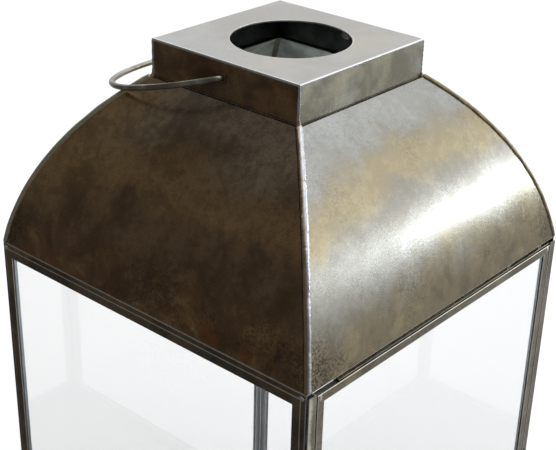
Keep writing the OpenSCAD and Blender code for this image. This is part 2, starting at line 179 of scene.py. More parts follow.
class Nodes:
    """The nodes of a material or a world."""

    def __init__(self, tree):
        self.tree = tree

    def node(self, kind, settings, sockets, out=0):
        """Adds a node: first its settings, then what goes into its sockets."""
        made = self.tree.nodes.new(kind)
        for key, value in settings.items():
            setattr(made, key, value)
        for key, value in sockets.items():
            self.feed(made.inputs[key], value)
        return Value(self, made.outputs[out])

    def feed(self, socket, value):
        """Links a value, or sets a number or a colour, on a socket."""
        if isinstance(value, Value):
            self.tree.links.new(value.socket, socket)
        elif isinstance(value, tuple) and socket.type == "RGBA":
            socket.default_value = (*value, 1)
        else:
            socket.default_value = value

    def place(self, shift=(0, 0, 0), stretch=(1, 1, 1)):
        """Where a point is on the lantern, moved and stretched."""
        spot = self.node("ShaderNodeTexCoord", {}, {}, "Object")
        return self.node("ShaderNodeMapping", {}, {"Vector": spot, "Location": shift, "Scale": stretch})

    def along(self, stretch):
        """Metres round the section and along the piece, stretched."""
        spot = self.node("ShaderNodeTexCoord", {}, {}, "UV")
        return self.node("ShaderNodeMapping", {}, {"Vector": spot, "Scale": (*stretch, 1)})

    def split(self, vector):
        """The x, y and z of a vector."""
        return [self.node("ShaderNodeSeparateXYZ", {}, {"Vector": vector}, k) for k in range(3)]

    def dot(self, vector, way):
        """How far a vector reaches along a direction."""
        return self.node("ShaderNodeVectorMath", {"operation": "DOT_PRODUCT"}, {0: vector, 1: way}, "Value")

    def noise(self, where, scale, detail=3.0, rough=0.55, twist=0.0):
        """Cloudy noise about 0.5, with so many lumps to a metre."""
        return self.node("ShaderNodeTexNoise", {}, {
            "Vector": where, "Scale": scale, "Detail": detail, "Roughness": rough, "Distortion": twist})

    def step(self, value, start, end):
        """0 below start, 1 above end, smooth between."""
        return self.node("ShaderNodeMapRange", {"interpolation_type": "SMOOTHSTEP"}, {
            "Value": value, "From Min": start, "From Max": end})

    def blend(self, amount, first, second):
        """Mixes two colours."""
        return self.node("ShaderNodeMix", {"data_type": "RGBA"}, {0: amount, 6: first, 7: second}, 2)

    def mark(self, name):
        """A number that the mesh carries at each point."""
        return self.node("ShaderNodeAttribute", {"attribute_name": name}, {}, "Fac")

    def bump(self, height, depth):
        """Turns a height of 0 to 1 into a slope for the Normal socket; depth is in metres."""
        return self.node("ShaderNodeBump", {}, {"Height": height, "Distance": depth, "Strength": 1.0})


class Finish(Nodes):
    """A material in the making."""

    def __init__(self, name):
        self.material = bpy.data.materials.new(name)
        self.material.use_nodes = True
        super().__init__(self.material.node_tree)
        self.surface = self.tree.nodes["Principled BSDF"]

    def set(self, **sockets):
        """Feeds the main shader; base_color stands for Base Color."""
        for key, value in sockets.items():
            self.feed(self.surface.inputs[key.replace("_", " ").title().replace("Ior", "IOR")], value)


print("shader steps:", [name for name in vars(Nodes) if not name.startswith("_")])

# %% [markdown]
# ## Patina on rolled sheet
# The sheet is darkened chemically, rubbed back in clouds and sealed. So the finish is metal with
# broad clouds of umber, olive, gold and blue-grey, mottles a few millimetres across, a fine
# crackle in patches, and a grain along the direction in which the sheet went through the rolls.
# Edges are rubbed bright where the mesh carries a "worn" mark. Where it carries an "inside" mark
# the sheet has a plain dull skin, grey-green under the roof; in the cap and on the rim at its foot it is
# near-black, which is painted shade.


# %% The patina
BLACKENED = (0.05, 0.042, 0.032)
RUST = (0.36, 0.13, 0.045)


def shade_of(colour):
    """The same colour at under half its brightness."""
    return tuple(0.42 * part for part in colour)


def wear(f, colour, at, broad, middle, shade, gloss=0.27, crackle=0.4, mottling=1.0, stain=0.0,
         bright=(0.78, 0.76, 0.73), inner=(0.56, 0.63, 0.58)):
    """What every patina gets on top: mottles, pores, crackle, roll grain, rubbed edges and soot.
    stain says where soot is thickest; bright is the colour of an edge, inner that of the back."""
    small = f.noise(at, 160.0, 4.0, 0.65)
    pores = f.noise(at, 900.0, 2.0, 0.6)
    grain = f.noise(f.along((1400.0, 55.0)), 1.0, 3.0, 0.6)
    mottle = f.step(small * 0.5 + middle * 0.5, 0.42, 0.60)
    colour = f.blend((1 - mottle) * 0.34 * mottling, colour, shade)
    colour = f.blend(f.step(pores, 0.55, 0.75) * 0.16, colour, shade)
    stipple = f.step(f.noise(at, 560.0, 3.0, 0.7), 0.47, 0.57)
    sooty = f.step(f.noise(at, 19.0, 3.0, 0.6), 0.46, 0.58) * crackle * 0.7
    colour = f.blend(stipple * (sooty + 0.7 * stain), colour, BLACKENED)
    cells = f.node("ShaderNodeTexVoronoi", {"feature": "DISTANCE_TO_EDGE"}, {
        "Vector": at, "Scale": 420.0, "Randomness": 1.0}, "Distance")
    patch = f.step(f.noise(at, 26.0, 3.0, 0.6), 0.48, 0.62)
    lines = (1 - f.step(cells, 0.02, 0.14)) * patch * crackle
    colour = f.blend(lines, colour, shade)
    colour = f.blend((grain - 0.5) * 0.4 + 0.08, colour, shade)
    rubbed = f.step(f.mark("worn") + (middle - 0.5) * 0.5 + (pores - 0.5) * 0.35, 0.45, 0.85)
    colour = f.blend(rubbed, colour, bright)
    inside = f.mark("inside")
    # For the cap finishes this back colour is near-black, painted shade.
    back_colour = f.blend(f.step(middle, 0.40, 0.62), shade_of(inner), inner)
    rough = (broad - 0.5) * 0.08 + (small - 0.5) * 0.10 + (grain - 0.5) * 0.08 + gloss
    height = grain * 0.25 + pores * 0.30 + small * 0.45 - lines * 0.5
    f.set(base_color=f.blend(inside * 0.9, colour, back_colour), metallic=1.0,
          roughness=rough + inside * 0.20 + rubbed * 0.03, normal=f.bump(height, 0.055 * MM),
          coat_weight=0.22, coat_roughness=0.14)
    return f.material


def patina(name, ground, shade, gold, cool, shift=(0, 0, 0), clouds=9.0, **look):
    """Clouded patina: ground is its main colour, shade the dark clouds, gold and cool the others."""
    f = Finish(name)
    at = f.place(shift)
    broad = f.noise(at, clouds, 3.0, 0.5, 0.5)
    middle = f.noise(at, clouds * 3.1, 5.0, 0.6, 0.3)
    warm = f.noise(f.place((shift[0] + 3.7, shift[1], 0)), clouds * 0.9, 3.0, 0.5, 0.8)
    cold = f.noise(f.place((shift[0], shift[1] + 5.1, 0)), clouds * 0.8, 3.0, 0.5, 0.6)
    colour = f.blend(f.step(broad * 0.6 + middle * 0.4, 0.40, 0.62), shade, ground)
    colour = f.blend(f.step(warm, 0.46, 0.66) * 0.75, colour, gold)
    colour = f.blend(f.step(cold, 0.52, 0.72) * 0.65, colour, cool)
    return wear(f, colour, at, broad, middle, shade, **look)


def rolled_patina(side, shift, ground, shade, gold, cool, earth_and_shade, tint, deep, mottling, crackle, rusty,
                  glow=None):
    """Patina of a roof sheet. The share h of the way up decides its tint: a deeper brown at the eaves,
    partly patina and partly painted shade, a gold band at two thirds, cool above it. Noise is added to
    h, which makes the bands drift. glow is a direction and two distances along it, between which the
    sheet turns gold as well."""
    f = Finish(f"roof_patina_{side}")
    at = f.place(shift)
    broad = f.noise(at, 7.0, 3.0, 0.5, 0.6)
    middle = f.noise(at, 26.0, 5.0, 0.6, 0.3)
    x, y, height = f.split(f.place())
    to_hip = abs(x).smaller(abs(y)) / abs(x).larger(abs(y))
    share = (height - eaves_z) / (roof_top_z - eaves_z)
    drift = share + (broad - 0.5) * 0.55 + (middle - 0.5) * 0.22
    clouds = f.step(broad * 0.55 + middle * 0.45, 0.41, 0.58)
    colour = f.blend((1 - clouds) * deep, ground, shade)
    colour = f.blend(f.step(drift, 0.71, 0.88) * 0.85 * tint, colour, cool)
    band = f.step(drift, 0.53, 0.65) * (1 - f.step(drift, 0.67, 0.82))
    colour = f.blend(band * tint, colour, gold)
    if glow:
        way, start, end = glow
        reach = f.dot(f.place(), way) + (middle - 0.5) * 0.10 + (broad - 0.5) * 0.12
        colour = f.blend(f.step(reach, start, end) * f.step(share, 0.15, 0.55) * 0.8, colour, gold)
    # Towards the eaves the colour turns browner and, on the silver sheets, darker: partly patina, partly
    # painted shade.
    foot = 1 - f.step(drift, 0.12, 0.38)
    colour = f.blend(foot * 0.85, colour, earth_and_shade)
    olive = f.noise(f.place((shift[0] + 1.7, shift[1], 0)), 34.0, 5.0, 0.65, 0.5)
    colour = f.blend(f.step(olive, 0.52, 0.64) * foot * 0.7, colour, gold)
    colour = f.blend(f.step(1 - olive, 0.50, 0.62) * foot * 0.6, colour, shade)
    rust = f.step(f.noise(f.place((shift[0], shift[1] + 2.3, 0)), 45.0, 4.0, 0.65), 0.49, 0.61)
    colour = f.blend(rust * (1 - f.step(share, 0.03, 0.15)) * rusty, colour, RUST)
    stain = f.step(to_hip + (middle - 0.5) * 0.5 + (broad - 0.5) * 0.6, 0.74, 0.98) * foot
    return wear(f, colour, at, broad, middle, shade, crackle=foot * crackle * 0.9 + crackle * 0.4,
                mottling=mottling, stain=stain)


silver = dict(ground=(0.385, 0.37, 0.335), shade=(0.18, 0.16, 0.115), gold=(0.47, 0.395, 0.235),
              cool=(0.435, 0.46, 0.46), earth_and_shade=(0.325, 0.265, 0.155),
              tint=0.8, deep=0.32, mottling=0.7, crackle=0.6, rusty=0.1)
umber_and_shade = dict(ground=(0.31, 0.20, 0.105), shade=(0.11, 0.068, 0.037), gold=(0.54, 0.345, 0.15),
             cool=(0.62, 0.52, 0.38), earth_and_shade=(0.325, 0.187, 0.087),
             tint=0.6, deep=0.85, mottling=1.3, crackle=0.6, rusty=0.9)
# The front and right sheets take the silver palette. The back and left sheets, away from the light, take
# the darker, browner one: partly their own patina, partly painted shade.
roof_finish = {
    "front": rolled_patina("front", (0.43, 0, 0.1), **silver),
    "right": rolled_patina("right", (1.3, 0.4, 0), **silver),
    "back": rolled_patina("back", (2.1, 3.4, 0), **umber_and_shade),
    "left": rolled_patina("left", (0.7, 1.9, 0), glow=((0, 1, 0), 0.02, 0.12), **umber_and_shade),
}
# Inside the cap the back of the sheet is near-black, which is painted shade.
cap_edges_and_inner_shade = dict(bright=(0.72, 0.71, 0.70), inner=(0.025, 0.038, 0.048))
# The dark cap patina goes on the left and back walls and the left rivet, away from the light: partly their
# own colour, partly painted shade.
cap_dark_and_shade_finish = patina(
    "cap_dark_patina", (0.27, 0.155, 0.075), (0.11, 0.064, 0.034), (0.36, 0.24, 0.10),
    (0.17, 0.135, 0.08), clouds=24.0, gloss=0.34, **cap_edges_and_inner_shade)
cap_olive_finish = patina(
    "cap_olive_patina", (0.50, 0.49, 0.42), (0.30, 0.285, 0.22), (0.64, 0.60, 0.45),
    (0.48, 0.50, 0.47), shift=(0.9, 2.2, 0), clouds=26.0, crackle=0.15, **cap_edges_and_inner_shade)
cap_top_finish = patina(
    "cap_top_patina", (0.375, 0.37, 0.355), (0.29, 0.28, 0.255), (0.39, 0.36, 0.30),
    (0.37, 0.38, 0.38), gloss=0.30, crackle=0.1, mottling=0.6, bright=(0.74, 0.74, 0.75))
frame_look = dict(clouds=20.0, inner=(0.16, 0.18, 0.19))
frame_finish = patina(
    "frame_patina", (0.22, 0.17, 0.12), (0.10, 0.074, 0.052), (0.33, 0.25, 0.145),
    (0.18, 0.17, 0.15), gloss=0.30, bright=(0.66, 0.58, 0.47), **frame_look)
front_finish = patina(
    "front_patina", (0.31, 0.285, 0.235), (0.15, 0.13, 0.095), (0.38, 0.325, 0.21),
    (0.27, 0.275, 0.265), gloss=0.29, bright=(0.86, 0.80, 0.68), **frame_look)
fitting_finish = patina(
    "fitting_patina", (0.30, 0.27, 0.23), (0.14, 0.12, 0.10), (0.36, 0.30, 0.21),
    (0.27, 0.28, 0.28), clouds=60.0, gloss=0.32)
print("patinas", [material.name for material in bpy.data.materials if "patina" in material.name])

# %% [markdown]
# ## Braze, wire and inner steel
# The hips are joined with brazing rod and ground back, so they shine silver with copper left in
# the hollows. The bail is drawn wire, with scratches along its length. The strips behind the
# glass were never darkened, and stay blue-grey.


# %% Other metals
def braze_metal(name, brown, dull, bright, copper, gloss):
    """Braze, ground bright where it is marked as worn and smoke-brown elsewhere, with copper left
    in the hollows."""
    f = Finish(name)
    at = f.place()
    filed = f.blend(f.noise(at, 260.0, 4.0), dull, bright)
    ground = f.step(f.mark("worn") + (f.noise(at, 55.0, 4.0, 0.6) - 0.5) * 0.9, 0.30, 0.70)
    colour = f.blend(ground, f.blend(f.noise(at, 190.0, 4.0), brown, shade_of(brown)), filed)
    hollow = f.mark("hollow")
    spots = f.step(f.noise(at, 70.0, 3.0, 0.6), 0.58, 0.68)
    red = f.blend(f.noise(at, 400.0), copper, shade_of(copper))
    colour = f.blend(f.step(hollow + spots * 0.5, 0.55, 1.0) * 0.8, colour, red)
    # On the hip beads the inside mark, near-black here, is their dark underside and, along one foot,
    # painted shadow.
    colour = f.blend(f.mark("inside"), colour, (0.03, 0.022, 0.016))
    scratches = f.noise(f.along((260.0, 2600.0)), 1.0, 2.0, 0.5)
    rough = f.noise(at, 500.0) * 0.16 + hollow * 0.12 + ground * 0.02 + gloss
    f.set(base_color=colour, roughness=rough, metallic=1.0,
          normal=f.bump(scratches * 0.4 + f.noise(at, 700.0) * 0.6, 0.06 * MM))
    return f.material


def wire_metal():
    """Drawn wire: streaks along its length, and a brown cast in clouds."""
    f = Finish("wire")
    streaks = f.noise(f.along((1800.0, 25.0)), 1.0, 3.0, 0.6)
    cast = f.noise(f.place(), 40.0, 4.0, 0.6, 0.4)
    colour = f.blend(f.step(cast, 0.40, 0.64), (0.23, 0.20, 0.15), (0.47, 0.45, 0.41))
    colour = f.blend(f.step(streaks, 0.52, 0.70) * 0.4, colour, (0.13, 0.11, 0.085))
    f.set(base_color=colour, roughness=streaks * 0.16 + cast * 0.10 + 0.17, metallic=1.0,
          normal=f.bump(streaks, 0.05 * MM))
    return f.material


def bare_steel():
    """Mill-finish steel strip with a blue-grey skin."""
    f = Finish("inner_steel")
    cast = f.noise(f.place(), 60.0, 4.0, 0.6)
    rolled = f.noise(f.along((900.0, 20.0)), 1.0, 3.0, 0.6)
    colour = f.blend(cast, (0.27, 0.31, 0.33), (0.44, 0.48, 0.50))
    colour = f.blend(f.step(rolled, 0.50, 0.72) * 0.35, colour, (0.16, 0.18, 0.19))
    f.set(base_color=colour, roughness=cast * 0.15 + 0.28, metallic=1.0,
          normal=f.bump(rolled, 0.05 * MM))
    return f.material


def felt_cloth():
    """Black felt: matted fibres in two directions and a slight sheen."""
    f = Finish("felt")
    fibres = (f.noise(f.place(stretch=(1, 3, 1)), 1500.0, 4.0, 0.7) * 0.5
              + f.noise(f.place(stretch=(3, 1, 1)), 1300.0, 4.0, 0.7) * 0.5)
    colour = f.blend(fibres, (0.012, 0.012, 0.013), (0.075, 0.072, 0.07))
    f.set(base_color=colour, roughness=fibres * 0.1 + 0.85, normal=f.bump(fibres, 0.4 * MM),
          sheen_weight=0.3, sheen_roughness=0.5)
    return f.material


def window_glass():
    """Clear float glass. Shadow rays pass straight through, so the floor inside isn't dark."""
    f = Finish("glass")
    f.set(base_color=(0.966, 0.961, 0.955), roughness=0.0, transmission_weight=1.0, ior=1.5)
    clear = f.node("ShaderNodeBsdfTransparent", {}, {"Color": (0.93, 0.94, 0.94)})
    shadow = f.node("ShaderNodeLightPath", {}, {}, "Is Shadow Ray")
    pane = Value(f, f.surface.outputs[0])
    mix = f.node("ShaderNodeMixShader", {}, {0: shadow, 1: pane, 2: clear})
    f.feed(f.tree.nodes["Material Output"].inputs["Surface"], mix)
    return f.material


braze_finish = braze_metal(
    "braze_ground", (0.50, 0.37, 0.26), (0.38, 0.365, 0.36), (0.76, 0.75, 0.77), (0.52, 0.32, 0.21), 0.24)
dull_braze_finish = braze_metal(
    "braze_dull", (0.40, 0.33, 0.19), (0.38, 0.34, 0.23), (0.62, 0.57, 0.42), (0.34, 0.20, 0.11), 0.32)
wire_finish, steel_finish = wire_metal(), bare_steel()
felt_finish, glass_finish = felt_cloth(), window_glass()
print("finishes", len(bpy.data.materials))

# %% [markdown]
# ## Surfaces from grids
# Every new piece is a stack of closed rings of points: a bar's section carried along it, a turned
# outline carried round an axis, wire carried along its bend. One function turns such a stack into
# faces, and another makes one mesh of several stacks and gives it its finish and its body.


# %% Turn rings into faces, and faces into a piece
def skin(rings, loop=False, worn=0.0, inside=0.0, hollow=0.0):
    """rings[i, j] is point j of closed ring i. A face joins (i, j), (i, j+1), (i+1, j+1) and
    (i+1, j). With loop the last ring meets the first; otherwise a flat face closes each end.
    The sign of the enclosed volume tells whether the faces must be turned to point outwards."""
    rows, cols = rings.shape[:2]
    i, j = np.meshgrid(np.arange(rows if loop else rows - 1), np.arange(cols), indexing="ij")
    below, above = (i + 1) % rows * cols, (j + 1) % cols
    quads = np.stack([i * cols + j, i * cols + above, below + above, below + j], -1).reshape(-1, 4)
    across = np.r_[0, np.cumsum(np.linalg.norm(np.roll(rings, -1, 1) - rings, axis=2).mean(0))]
    ahead = np.r_[0, np.cumsum(np.linalg.norm(np.roll(rings, -1, 0) - rings, axis=2).mean(1))]
    uv = np.stack([
        np.stack([across[j], ahead[i]], -1), np.stack([across[j + 1], ahead[i]], -1),
        np.stack([across[j + 1], ahead[i + 1]], -1), np.stack([across[j], ahead[i + 1]], -1)], 2)
    uv = uv.reshape(-1, 4, 2)
    points = rings.reshape(-1, 3)
    a, b, c, d = (points[quads[:, k]] for k in range(4))
    volume = (a * (np.cross(b, c) + np.cross(c, d))).sum()
    ends = [] if loop else [np.arange(cols)[::-1], np.arange(cols) + (rows - 1) * cols]
    for end in ends:
        ring = points[end]
        volume += (ring.mean(0) * np.cross(ring, np.roll(ring, -1, 0))).sum()
    faces = quads.tolist() + [end.tolist() for end in ends]
    corners = [uv.reshape(-1, 2)] + [
        np.stack([across[end % cols], np.full(cols, ahead[end[0] // cols])], -1) for end in ends]
    if volume < 0:
        faces = [face[::-1] for face in faces]
        corners = [uv[:, ::-1].reshape(-1, 2)] + [corner[::-1] for corner in corners[1:]]
    marks = {key: np.broadcast_to(value, (rows, cols)).ravel() for key, value in
             (("worn", worn), ("inside", inside), ("hollow", hollow))}
    return {"points": points, "faces": faces, "uv": np.concatenate(corners), **marks}


def piece(name, body, slot, finish, parts, *stands_for):
    """Makes one mesh of the parts, smooth but for edges over 35 degrees, and lets it ride."""
    starts = np.r_[0, np.cumsum([len(part["points"]) for part in parts])]
    faces = [[k + int(start) for k in face]
             for part, start in zip(parts, starts) for face in part["faces"]]
    mesh = bpy.data.meshes.new(name)
    mesh.from_pydata(np.concatenate([part["points"] for part in parts]).tolist(), [], faces)
    uv = mesh.uv_layers.new(name="UVMap")
    uv.data.foreach_set("uv", np.concatenate([part["uv"] for part in parts]).astype(np.float32).ravel())
    for key in ("worn", "inside", "hollow"):
        mark = mesh.attributes.new(key, "FLOAT", "POINT")
        mark.data.foreach_set("value", np.concatenate([part[key] for part in parts]).astype(np.float32))
    mesh.shade_smooth()
    mesh.set_sharp_from_angle(angle=math.radians(35))
    mesh.materials.append(finish)
    made = put_in_scene(name, mesh)
    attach(made, body)
    if stands_for:
        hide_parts(*stands_for)


cube = skin(np.array([[(0, 0, z), (1, 0, z), (1, 1, z), (0, 1, z)] for z in (0, 1)]))
print("a block has", len(cube["points"]), "points and", len(cube["faces"]), "faces")


# %% Outlines with rounded corners, and hand-made unevenness
def rounded(corners, radius, steps=4):
    """An outline, run anticlockwise, with an arc at each corner. The arc starts where a side has
    radius * tan(turn / 2) left to run. Returns the points, and 1 on each outward arc."""
    corner = np.array(corners, float)
    radius = np.broadcast_to(radius, len(corner)).astype(float)
    ahead = np.roll(corner, -1, 0) - corner
    length = np.linalg.norm(ahead, axis=1)
    ahead = ahead / length[:, None]
    behind = np.roll(ahead, 1, 0)
    across = behind[:, 0] * ahead[:, 1] - behind[:, 1] * ahead[:, 0]
    turn = np.arctan2(across, (behind * ahead).sum(1))
    reach = radius * np.tan(np.abs(turn) / 2)
    start = corner - behind * reach[:, None]
    middle = start + np.stack([-behind[:, 1], behind[:, 0]], 1) * (np.sign(turn) * radius)[:, None]
    arm = start - middle
    angle = turn[:, None] * np.linspace(0, 1, steps + 1)
    arc = middle[:, None] + np.stack([
        arm[:, :1] * np.cos(angle) - arm[:, 1:] * np.sin(angle),
        arm[:, :1] * np.sin(angle) + arm[:, 1:] * np.cos(angle)], 2)
    rest = 0.3 * (np.minimum(length, np.roll(length, 1)) - reach)
    rest = np.minimum(rest, 0.8 * radius)[:, None]
    first = arc[:, :1] - (behind * rest)[:, None]
    last = arc[:, -1:] + (ahead * rest)[:, None]
    outline = np.concatenate([first, arc, last], 1).reshape(-1, 2)
    worn = np.repeat((turn > 0).astype(float), steps + 3).reshape(-1, steps + 3)
    worn[:, [0, -1]] *= 0.3
    return outline, worn.ravel()


CORNER_POINTS = 7


def strip(width, height, radius, x=0.0, y=0.0, steps=4):
    """The rounded outline of a rectangle whose lowest corner is (x, y)."""
    return rounded([(x, y), (x + width, y), (x + width, y + height), (x, y + height)], radius, steps)


def refined(outline, marks, step):
    """Adds points so that no side of a closed outline is longer than step."""
    closed = np.vstack([outline, outline[:1]])
    length = np.r_[0, np.cumsum(np.linalg.norm(np.diff(closed, axis=0), axis=1))]
    spots = np.unique(np.r_[length[:-1], np.arange(0, length[-1], step)].round(9))
    gap = np.diff(np.r_[spots, length[-1]]) > 1e-7
    spots = spots[gap]
    made = np.stack([np.interp(spots, length, closed[:, k]) for k in (0, 1)], 1)
    return made, np.interp(spots, length, np.r_[marks, marks[:1]])


def uneven(where, seed, wave, count=5):
    """A sum of sines with random phases, about -1 to 1: unevenness with waves of that length."""
    random = np.random.default_rng(seed)
    total = 0
    for k in range(count):
        wave_here = wave * random.uniform(0.6, 1.7)
        total = total + np.sin(2 * np.pi * where / wave_here + random.uniform(0, 6.3))
    return total / math.sqrt(count) / 1.4


print("outline of a strip with rounded corners:", len(strip(20 * MM, sheet, 0.3 * MM)[0]), "points")

# %% Bars and turned parts
SIDES = ("front", "right", "back", "left")
X, Y, Z = np.eye(3)


def turned(vector, side):
    """A vector of the front turned to a side: 0 front, 1 right, 2 back, 3 left."""
    c, s = (1, 0, -1, 0)[side], (0, 1, 0, -1)[side]
    x, y, z = (np.asarray(vector, float)[..., k] for k in range(3))
    return np.stack([c * x - s * y, s * x + c * y, z], -1)


def bar(outline, corner, along, inward, outward, length, mitre=0, rows=2, bow=0.0, seed=0, **marks):
    """Point (t, (p, d)) is corner + (m p + t (length - 2 m p)) along + p inward + d outward. m is
    1 for ends that are mitred and 0 for square ones. bow sways the bar outwards."""
    p, d = outline.T
    t = np.linspace(0, 1, rows)[:, None]
    reach = p * mitre + t * (length - 2 * mitre * p)
    sway = bow * uneven(reach, seed, 0.12) if bow else 0 * reach
    return skin(corner + reach[..., None] * along + p[:, None] * inward
                + (d + sway)[..., None] * outward, **marks)


def side_bar(outline, side, half, foot, rows, **marks):
    """A mitred bar along one side of a square that is 2 half wide."""
    return bar(outline, turned((-half, -half, foot), side), turned(X, side), turned(Y, side), Z,
               2 * half, 1, rows, **marks)


def lathe(outline, centre, axis, loop=False, segments=40, **marks):
    """Turns an outline of (radius, distance along the axis) round the axis."""
    side = np.cross(axis, Z if abs(axis[2]) < 0.9 else X)
    angle = np.linspace(0, 2 * np.pi, segments, endpoint=False)
    round_axis = np.cos(angle)[:, None] * side + np.sin(angle)[:, None] * np.cross(axis, side)
    radius, along = np.asarray(outline, float).T
    rings = centre + radius[:, None, None] * round_axis + along[:, None, None] * axis
    return skin(rings, loop, **marks)


print("the right side starts at", turned((-body_half, -body_half, 0), 1).round(4))

# %% [markdown]
# ## The roof
# Each roof side is a rolled sheet: straight across, bent to one radius from the eaves up, and cut
# to a mitre where it meets its neighbours. A section is drawn in the flat, as length along the
# sheet and depth through it, and rolled by turning length into an angle. Across, a point's place
# is a share u of the half width at its height, so both ends of the sheet land on the hips. Hand
# rolling leaves shallow dents, which make the long highlight waver.


# %% Four rolled sheets
low_point = np.array([roof_half, eaves_z])
high_point = np.array([roof_top_half, roof_top_z])
chord = high_point - low_point
chord_length = np.linalg.norm(chord)
inward_normal = np.array([-chord[1], chord[0]]) / chord_length
to_centre = math.sqrt(roof_radius**2 - chord_length**2 / 4)
arc_centre = (low_point + high_point) / 2 + inward_normal * to_centre
angle_low = math.atan2(*(low_point - arc_centre)[::-1])
angle_high = math.atan2(*(high_point - arc_centre)[::-1])
arc_length = roof_radius * (angle_high - angle_low)


def rolled(along, depth):
    """(half width, height) of a point of the sheet: an angle of along / radius up the arc."""
    angle = angle_low + along / roof_radius
    radius = roof_radius + depth
    return arc_centre[0] + radius * np.cos(angle), arc_centre[1] + radius * np.sin(angle)


def dents(u, along, seed):
    """Shallow round dents, gone at the sheet's edges: each is exp(-distance^2 / size^2)."""
    random = np.random.default_rng(seed)
    total = 0
    for _ in range(26):
        x, y = random.uniform(-0.14, 0.14), random.uniform(0, arc_length)
        size, depth = random.uniform(0.012, 0.040), random.uniform(-0.10, 0.10) * MM
        total = total + depth * np.exp(-((u * 0.13 - x) ** 2 + (along - y) ** 2) / size**2)
    up = np.clip(along / arc_length, 0, 1)
    return total * np.clip(1 - u**8, 0, 1) * np.clip(np.sin(np.pi * up) * 4, 0, 1)


def roof_sheet(side, seed):
    """Ring i is the sheet's section at share u of the half width."""
    flat, worn = refined(*strip(arc_length, sheet, 0.35 * MM, y=-sheet), 2.4 * MM)
    along, depth = flat.T
    u = np.linspace(-1, 1, 110)[:, None]
    pressed = depth + dents(u, along, seed) * np.where(depth > -sheet / 2, 1, 0.9)
    half, height = rolled(along, pressed)
    rim_worn = worn * (along < arc_length / 2)
    rings = np.stack([u * half, -half, height], -1)
    return skin(turned(rings, side), worn=rim_worn * 0.8, inside=(depth < -0.6 * sheet) * 1.0)


for k, name in enumerate(SIDES):
    piece(f"roof_sheet_{name}", "lantern", "roof_patina", roof_finish[name], [roof_sheet(k, 40 + k)],
          f"roof_panel_{name}")
print("arc of the roof", round(arc_length, 4), "m long, centre", arc_centre.round(4))

# %% [markdown]
# ## The brazed hips
# The joint between two roof sheets is a run of braze, laid in short dabs and then ground. The
# bead is a tube along the hip curve. Its radius swells at each dab and sinks between two, a flat
# is ground along its outer side, and it closes to a dome at each end. The hollow between two dabs
# is marked, so that the finish can leave copper there.


# %% Four beads
CORNERS = ("front_right", "back_right", "back_left", "front_left")
NEAR_CORNER = CORNERS.index("front_left")
hip_radius, hip_sink = 2.8 * MM, 1.6 * MM
dab_pitch, end_dome = 6.5 * MM, 1.6 * MM


def dabs(along, seed):
    """0 between two dabs and 1 on a dab, with dabs of uneven length."""
    drift = along + 0.30 * dab_pitch * uneven(along, seed, 5 * dab_pitch)
    return np.abs(np.sin(np.pi * drift / dab_pitch)) ** 0.5


def hip_bead(side, seed):
    """Point (s, a) is the hip's line plus r(s, a) (cos a side + sin a out). Its outer side is
    polished and its inner side dark. A dark strip along one foot, darkest on the near hip, is painted
    shadow."""
    s = np.interp(np.linspace(0, 1, 330), [0, 0.03, 0.97, 1], [0, 0.012, 0.988, 1]) * arc_length
    half, height = rolled(s, 0)
    line = np.stack([half - hip_sink, -half + hip_sink, height], 1)
    ahead = np.gradient(line, axis=0)
    ahead = ahead / np.linalg.norm(ahead, axis=1)[:, None]
    across = np.array([1, 1, 0]) / math.sqrt(2)
    out = np.cross(across, ahead)
    a = np.linspace(0, 2 * np.pi, 26, endpoint=False)
    dab = dabs(s, seed)
    swell = 0.90 + 0.05 * dab + 0.035 * uneven(s, seed + 1, 18 * MM)
    swell = swell + 0.025 * uneven(s, seed + 2, 3 * MM)
    from_end = np.minimum(s, arc_length - s)
    swell = swell * np.sqrt(np.clip(1 - (1 - np.clip(from_end / end_dome, 0, 1)) ** 2, 0.02, 1))
    ripple = 1 + 0.03 * np.sin(3 * a + 60 * s[:, None] / arc_length)
    radius = hip_radius * swell[:, None] * ripple
    ground_at = hip_radius * (0.86 + 0.05 * uneven(s, seed + 3, 25 * MM)[:, None])
    x, y = radius * np.cos(a), np.minimum(radius * np.sin(a), ground_at)
    rings = line[:, None] + x[..., None] * across + y[..., None] * out[:, None]
    patchy = 0.5 + 0.5 * uneven(s, seed + 4, 22 * MM)
    hollow = np.clip(np.clip(1 - dab * 1.6, 0, 1) * patchy, 0, 1)[:, None]
    polish = np.clip(2.2 * np.cos(a - math.radians(30)) - 0.6, 0, 1)
    # toe_shadow is painted shadow: a near-black strip along one foot of the bead, full on the near hip and
    # faint on the others.
    toe_shadow = np.clip(3.2 - np.abs(np.degrees(a) - 182) / 14, 0, 1)
    toe_shadow = toe_shadow * (1.0 if side == NEAR_CORNER else 0.15)
    dark = np.maximum(toe_shadow, 0.8 * np.clip(-2 * np.sin(a) - 1, 0, 1))
    return skin(turned(rings, side), hollow=hollow, worn=polish, inside=dark)


